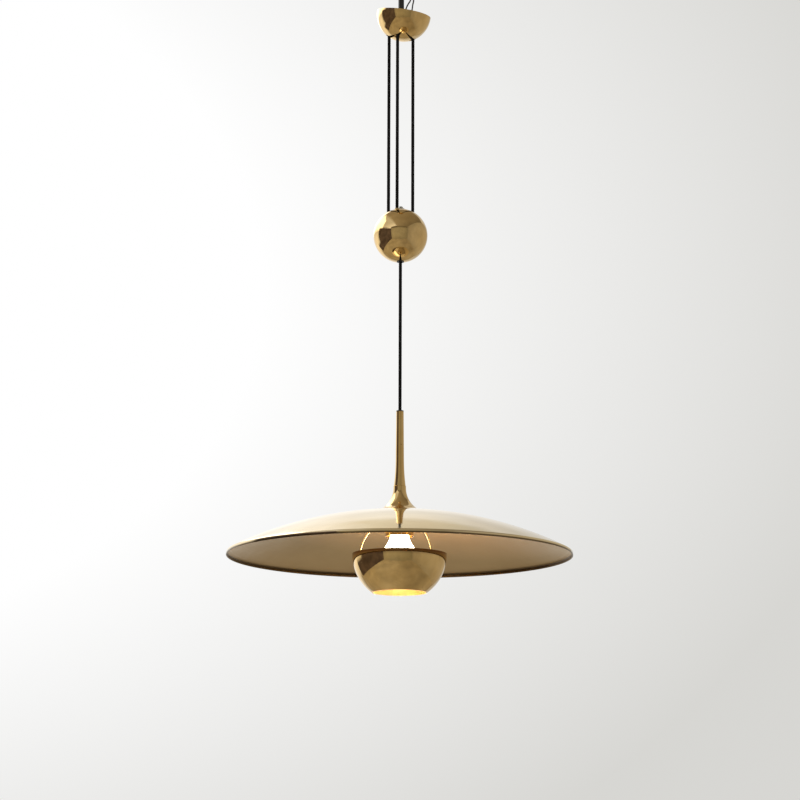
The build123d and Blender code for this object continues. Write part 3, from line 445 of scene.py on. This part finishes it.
materials = {
    "polished_brass": make_polished_brass("polished_brass"),
    "shade_brass": make_shade_brass(),
    "plain_brass": make_plain_brass(),
    "core_metal": make_core_metal(),
    "zinc_steel": make_zinc_steel(),
    "blackened_steel": make_black_steel(),
    "black_plastic": make_plastic("black_plastic", plastic_tones, gloss=0.38),
    "pulley_nylon": make_plastic("pulley_nylon", nylon_tones, gloss=0.42),
    "lead_sleeve": make_plastic("lead_sleeve", sleeve_tones, gloss=0.45),
    "black_cord": make_cord_cloth(),
    "holder_porcelain": make_porcelain(),
    "opal_glass": make_opal_glass(),
}
wire_brass = make_wire_brass()
finishes = {
    "reflector_bowl": make_polished_brass("bowl_brass", (0, 0, bowl_rim_z)),
    "reflector_wire_left": wire_brass,
    "reflector_wire_right": wire_brass,
    "reflector_wire_back": wire_brass,
}
slot_of = {entry["node"]: entry["material_slot"] for entry in frame["record"]["subparts"]}
for node_name, node_object in nodes.items():
    node_object.data.materials.clear()
    node_object.data.materials.append(finishes.get(node_name, materials[slot_of[node_name]]))


# Mesh helpers
def dress(name, mesh, body, node_names):
    """Puts a finished mesh in the scene in place of the solids that it stands for."""
    piece = bpy.data.objects.new(name, mesh)
    scene.collection.objects.link(piece)
    mesh.materials.append(materials[slot_of[node_names[0]]])
    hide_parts(*node_names)
    if body is not None:
        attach(piece, body)
    return piece


def nurbs_points(route, finest):
    """Points along the smooth line of a cord's route, about as far apart as finest."""
    curve = bpy.data.curves.new("route", "CURVE")
    curve.dimensions = "3D"
    spline = curve.splines.new("NURBS")
    spline.points.add(len(route) - 1)
    for point, place in zip(spline.points, route):
        point.co = (*place, 1)
    spline.order_u = 3
    spline.use_endpoint_u = True
    reach = sum((Vector(b) - Vector(a)).length for a, b in zip(route, route[1:]))
    spline.resolution_u = max(4, round(reach / finest / (len(route) - 2)))
    holder = bpy.data.objects.new("route", curve)
    mesh = bpy.data.meshes.new_from_object(holder)
    points = [vertex.co.copy() for vertex in mesh.vertices]
    bpy.data.objects.remove(holder)
    bpy.data.meshes.remove(mesh)
    bpy.data.curves.remove(curve)
    return points


def tube(name, points, radius_at, sides):
    """A closed tube along a line of points; radius_at gives the radius at a turn and a distance."""
    work = bmesh.new()
    side = (points[1] - points[0]).orthogonal().normalized()
    rings = []
    travelled = 0
    for index, point in enumerate(points):
        ahead = points[min(index + 1, len(points) - 1)] - points[max(index - 1, 0)]
        forward = ahead.normalized()
        side = (side - forward * side.dot(forward)).normalized()
        across = forward.cross(side)
        if index:
            travelled += (point - points[index - 1]).length
        turns = [2 * pi * i / sides for i in range(sides)]
        spokes = [(side * cos(turn) + across * sin(turn)) * radius_at(turn, travelled) for turn in turns]
        rings.append([work.verts.new(point + spoke) for spoke in spokes])
    for before, after in zip(rings, rings[1:]):
        for i in range(sides):
            j = (i + 1) % sides
            work.faces.new((before[i], before[j], after[j], after[i]))
    work.faces.new(rings[0][::-1])
    work.faces.new(rings[-1])
    bmesh.ops.recalc_face_normals(work, faces=work.faces)
    mesh = bpy.data.meshes.new(name)
    work.to_mesh(mesh)
    work.free()
    mesh.shade_smooth()
    mesh.set_sharp_from_angle(angle=radians(60))
    return mesh


# Cords: the braid's yarns cross in a diamond relief
braid_yarns = 5
braid_pitch = 0.0075
braid_depth = 0.00014
braid_step = 0.0007
cord_sides = 24


def braid_radius(turn, travelled):
    lay = 2 * pi * travelled / braid_pitch
    crossing = cos(braid_yarns * turn + lay) * cos(braid_yarns * turn - lay)
    return cord_d / 2 + braid_depth * crossing


def strand(name, x, y, top_z, bottom_z, bodies, fixed_z, moving_z):
    """A stretch of cord that hangs straight between two heights."""
    edge = 6 * cord_d
    route = [(x, y, top_z), (x, y, top_z - edge), (x, y, bottom_z + edge), (x, y, bottom_z)]
    points = nurbs_points(route, braid_step)
    piece = dress(name, tube(name, points, braid_radius, cord_sides), None, [name.removesuffix("_braid")])
    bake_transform(piece)


upper_bodies = ("ceiling_set", "counterweight")
lower_bodies = ("counterweight", "lamp")
upper_ends = (canopy_axle_z, weight_axle_z)
strand("strand_anchor_braid", -strand_x, 0, clamp_top_z, weight_axle_z, upper_bodies, *upper_ends)
strand("strand_return_braid", strand_x, 0, *upper_ends, upper_bodies, *upper_ends)
feed_ends = (canopy_axle_z, guide_top_z)
strand("strand_feed_braid", feed.x, feed.y, *feed_ends, upper_bodies, *feed_ends)
lower_end_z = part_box("strand_lower")[0][2]
strand("strand_lower_braid", 0, 0, cord_exit_z, lower_end_z, lower_bodies, cord_exit_z, stem_hold_z)


def wrap(node_name, centre, first, second, radius, body, corners=6):
    """A cord round half a pulley, from first over second, on the corners of its tangents."""
    step = pi / corners
    reach = radius / cos(step / 2)
    middle = [(i + 0.5) * step for i in range(corners)]
    spots = [centre + (first * cos(turn) + second * sin(turn)) * reach for turn in middle]
    points = nurbs_points([centre + first * radius, *spots, centre - first * radius], braid_step)
    name = node_name + "_braid"
    dress(name, tube(name, points, braid_radius, cord_sides), body, [node_name])


canopy_pulley_centre = along * canopy_pulley_u + outward * strand_w + up * canopy_axle_z
weight_pulley_centre = up * weight_axle_z
wrap("canopy_wrap", canopy_pulley_centre, along, up, canopy_pitch_r, "ceiling_set")
wrap("weight_wrap", weight_pulley_centre, Vector((1, 0, 0)), -up, strand_x, "counterweight")

# Supply leads, as (along the strap, out of its face, height)
lead_step = 0.0012
lead_sides = 16
lead_side = lead_d / 2 + seam_gap
terminal_u = 0.019
terminal_w = 0.00625
terminal_half = 0.00275
terminal_z = -0.002
lead_routes = {
    "supply_lead_line": (
        (-strand_u, -strand_w - lead_side, clamp_top_z),
        (-strand_u, -strand_w - lead_side, -0.0335),
        (-0.0105, -0.0145, -0.0300),
        (0.0005, -0.0110, -0.0315),
        (0.0105, -0.0035, -0.0310),
        (0.0100, 0.0040, -0.0220),
        (terminal_u - terminal_half, terminal_w, -0.0120),
        (terminal_u - terminal_half, terminal_w, terminal_z),
    ),
    "supply_lead_neutral": (
        (-strand_u, -strand_w + lead_side, clamp_top_z),
        (-strand_u, -strand_w + lead_side, -0.0320),
        (-0.0085, -0.0090, -0.0295),
        (0.0035, -0.0065, -0.0350),
        (0.0150, -0.0045, -0.0365),
        (0.0220, 0.0005, -0.0305),
        (0.0200, 0.0050, -0.0200),
        (terminal_u + terminal_half, terminal_w, -0.0120),
        (terminal_u + terminal_half, terminal_w, terminal_z),
    ),
}
for lead_name, route in lead_routes.items():
    corners = [along * u + outward * w + up * z for u, w, z in route]
    points = nurbs_points(corners, lead_step)
    sleeve = tube(lead_name, points, lambda *spot: lead_d / 2, lead_sides)
    lead = dress(lead_name + "_sleeve", sleeve, "ceiling_set", [lead_name])

# World: a pale wall, brightest at the left behind the lamp
wall_glow = (1.0, 1.0, 1.0)
wall_plain = (0.68, 0.675, 0.65)
glow_centre = (-0.40, 0, 0.45)
glow_squeeze = (1, 0, 1.7)
glow_near = 0.33
glow_far = 0.65
sky_tone = (1.0, 0.99, 0.97)
sky_strength = 0.75
world = bpy.data.worlds.new("world")
scene.world = world
world.use_nodes = True
sky = world.node_tree
sky.nodes.clear()
direction = add(sky, "ShaderNodeTexCoord").outputs["Generated"]
glow_gap = measure(sky, "DISTANCE", "Value", stretched(sky, direction, glow_squeeze), glow_centre)
wall = blend_colour(sky, remap(sky, glow_gap, glow_near, glow_far, 0, 1), wall_glow, wall_plain)
seen = add(sky, "ShaderNodeBackground", {"Color": wall, "Strength": 1.0})
light = add(sky, "ShaderNodeBackground", {"Color": opaque(sky_tone), "Strength": sky_strength})
rays = add(sky, "ShaderNodeLightPath").outputs
direct = calculate(sky, "MAXIMUM", rays["Is Camera Ray"], rays["Is Glossy Ray"])
direct = calculate(sky, "MAXIMUM", direct, rays["Is Transmission Ray"])
both = add(sky, "ShaderNodeMixShader", {0: direct, 1: light.outputs[0], 2: seen.outputs[0]})
add(sky, "ShaderNodeOutputWorld", {"Surface": both.outputs[0]})

# Floor
floor_z = -2.45
floor_half = 30.0


def sheet_mesh(name, width, height):
    """A flat rectangle about the origin, facing up."""
    mesh = bpy.data.meshes.new(name)
    x = width / 2
    y = height / 2
    mesh.from_pydata([(-x, -y, 0), (x, -y, 0), (x, y, 0), (-x, y, 0)], [], [(0, 1, 2, 3)])
    return mesh


floor = bpy.data.objects.new("floor", sheet_mesh("floor", 2 * floor_half, 2 * floor_half))
floor.location = (0, 0, floor_z)
scene.collection.objects.link(floor)
floor_material, floor_tree, floor_face = shader("floor")
floor_cloud = noise(floor_tree, place_of(floor_tree), scale=1.5, detail=3)
floor_tone = blend_colour(floor_tree, floor_cloud, *floor_tones)
floor_tree.links.new(floor_tone, floor_face.inputs["Base Color"])
floor_face.inputs["Roughness"].default_value = 0.8
floor.data.materials.append(floor_material)

# Room round the lamp, as cards that only the polished metal sees
room_left = -2.9
room_right = 2.0
room_front = -3.5
room_floor = floor_z + 0.02
room_ceiling = 1.23
left_back = 0.65
left_top = 0.72
low_back = 2.2
low_top = -1.25
right_back = 3.8
floor_w = 8.0
floor_back = 3.2
ceiling_left = -0.87
ceiling_back = 1.4
ceiling_corner_h = 0.10
corner_w = 0.9
card_gap = 0.02
patch_gap = 0.01
left_tone = (0.105, 0.080, 0.072)
left_mottle = 0.4
floor_mottle = 0.2
no_shade = 1.0
to_left = (-1, 0, 0)
to_right = (1, 0, 0)
to_front = (0, -1, 0)
to_back = (0, 1, 0)
downward = (0, 0, -1)
upward = (0, 0, 1)


def span(low, high):
    """The middle and the length of what lies between two places."""
    return (low + high) / 2, high - low


def card(name, centre, facing, size, tone, fade=1.0, mottle=0.11, corner=0.80, soft=0.35):
    """A plain wall, turned to face along a direction, with a soft edge outside its size.

    Its brightness changes along its first side, to fade at the far end, varies in patches by mottle, and
    goes down to corner at its edges, as it does near the corners of a room.
    """
    width, height = size
    piece = bpy.data.objects.new(name, sheet_mesh(name, width + 2 * soft, height + 2 * soft))
    piece.location = centre
    piece.rotation_euler = Vector(facing).to_track_quat("Z", "Y").to_euler()
    scene.collection.objects.link(piece)
    material = bpy.data.materials.new(name)
    material.use_nodes = True
    tree = material.node_tree
    tree.nodes.clear()
    place = place_of(tree)
    sides = split(tree, place)
    gap_x = calculate(tree, "SUBTRACT", width / 2, calculate(tree, "ABSOLUTE", sides["X"]))
    gap_y = calculate(tree, "SUBTRACT", height / 2, calculate(tree, "ABSOLUTE", sides["Y"]))
    gap = calculate(tree, "MINIMUM", gap_x, gap_y)
    ragged = calculate(tree, "ADD", gap, spread(tree, noise(tree, place, scale=4, detail=3), -soft / 3, 0))
    patches = spread(tree, noise(tree, place, scale=0.9, detail=5), 1 - mottle, 1 + mottle)
    faded = remap(tree, sides["X"], -width / 2, width / 2, 1, fade)
    shaded = remap(tree, gap, 0, corner_w, corner, 1)
    strength = calculate(tree, "MULTIPLY", calculate(tree, "MULTIPLY", patches, faded), shaded)
    paint = add(tree, "ShaderNodeEmission", {"Color": opaque(tone), "Strength": strength})
    clear = add(tree, "ShaderNodeBsdfTransparent")
    solid = remap(tree, ragged, -soft, 0, 0, 1)
    both = add(tree, "ShaderNodeMixShader", {0: solid, 1: clear.outputs[0], 2: paint.outputs[0]})
    add(tree, "ShaderNodeOutputMaterial", {"Surface": both.outputs[0]})
    piece.data.materials.append(material)
    piece.visible_camera = False
    piece.visible_diffuse = False
    piece.visible_shadow = False
    piece.visible_transmission = False


room_x, room_w = span(room_left, room_right)
room_z, room_h = span(room_floor, room_ceiling)
left_y, left_d = span(room_front, left_back)
left_z, left_h = span(room_floor, left_top)
low_y, low_d = span(room_front, low_back)
low_z, low_h = span(room_floor, low_top)
right_y, right_d = span(room_front, right_back)
floor_y, floor_d = span(room_front, floor_back)
ceiling_x, ceiling_w = span(ceiling_left, room_right)
ceiling_y, ceiling_d = span(room_front, ceiling_back)
card(
    "room_front",
    centre=(room_x, room_front, room_z),
    facing=to_back,
    size=(room_w, room_h),
    tone=(0.29, 0.265, 0.195),
    fade=1.45,
)
card(
    "room_right",
    centre=(room_right, right_y, room_z),
    facing=to_left,
    size=(right_d, room_h),
    tone=(0.56, 0.505, 0.40),
    fade=0.58,
)
card(
    "room_left",
    centre=(room_left, left_y, left_z),
    facing=to_right,
    size=(left_d, left_h),
    tone=left_tone,
    mottle=left_mottle,
)
card(
    "room_low",
    centre=(room_left + card_gap, low_y, low_z),
    facing=to_right,
    size=(low_d, low_h),
    tone=left_tone,
    mottle=left_mottle,
)
card(
    "room_ceiling",
    centre=(ceiling_x, ceiling_y, room_ceiling),
    facing=downward,
    size=(ceiling_w, ceiling_d),
    tone=(0.19, 0.163, 0.118),
    fade=1.9,
    corner=no_shade,
)
card(
    "room_floor",
    centre=(room_x, floor_y, room_floor),
    facing=upward,
    size=(floor_w, floor_d),
    tone=(0.42, 0.365, 0.265),
    mottle=floor_mottle,
)
# A darker patch of the reflected floor, to the right and in front.
card(
    "floor_dark_patch",
    centre=(1.25, -1.55, room_floor + patch_gap),
    facing=upward,
    size=(1.5, 3.9),
    tone=(0.30, 0.255, 0.18),
    mottle=floor_mottle,
    corner=no_shade,
    soft=0.9,
)
# A dark strip along the top of the front wall: painted shade at the ceiling's corner.
card(
    "ceiling_corner_shade",
    centre=(room_x, room_front + card_gap, room_ceiling - ceiling_corner_h / 2),
    facing=to_back,
    size=(room_w, ceiling_corner_h),
    tone=(0.14, 0.11, 0.07),
)
card(
    "window_high",
    centre=(-2.31, 1.74, 2.0),
    facing=(0.83, -0.55, 0),
    size=(4.9, 2.55),
    tone=(3.1, 3.1, 3.0),
)
card(
    "wall_left_back",
    centre=(-2.6, 2.6, -0.55),
    facing=(0.7, -0.7, 0),
    size=(3.4, 2.5),
    tone=(1.2, 1.19, 1.14),
)
card(
    "wall_back",
    centre=(-0.2, 3.8, 0.8),
    facing=to_front,
    size=(2.6, 5.2),
    tone=(1.27, 1.26, 1.23),
    fade=0.56,
)
card(
    "wall_top",
    centre=(0.30, 3.7, 2.80),
    facing=to_front,
    size=(1.35, 1.4),
    tone=(0.83, 0.78, 0.66),
    fade=0.60,
    corner=no_shade,
    soft=0.45,
)

# Key light, soft and from the left
key_target = Vector((0, 0, -0.7))
key_data = bpy.data.lights.new("key", "AREA")
key_data.energy = 45
key_data.size = 1.8
key_data.color = (1.0, 0.98, 0.95)
key = bpy.data.objects.new("key", key_data)
key.location = (-2.3, -1.4, 0.6)
key.rotation_euler = (key_target - key.location).to_track_quat("-Z", "Y").to_euler()
key.visible_glossy = False
scene.collection.objects.link(key)

scene.view_settings.view_transform = "Standard"
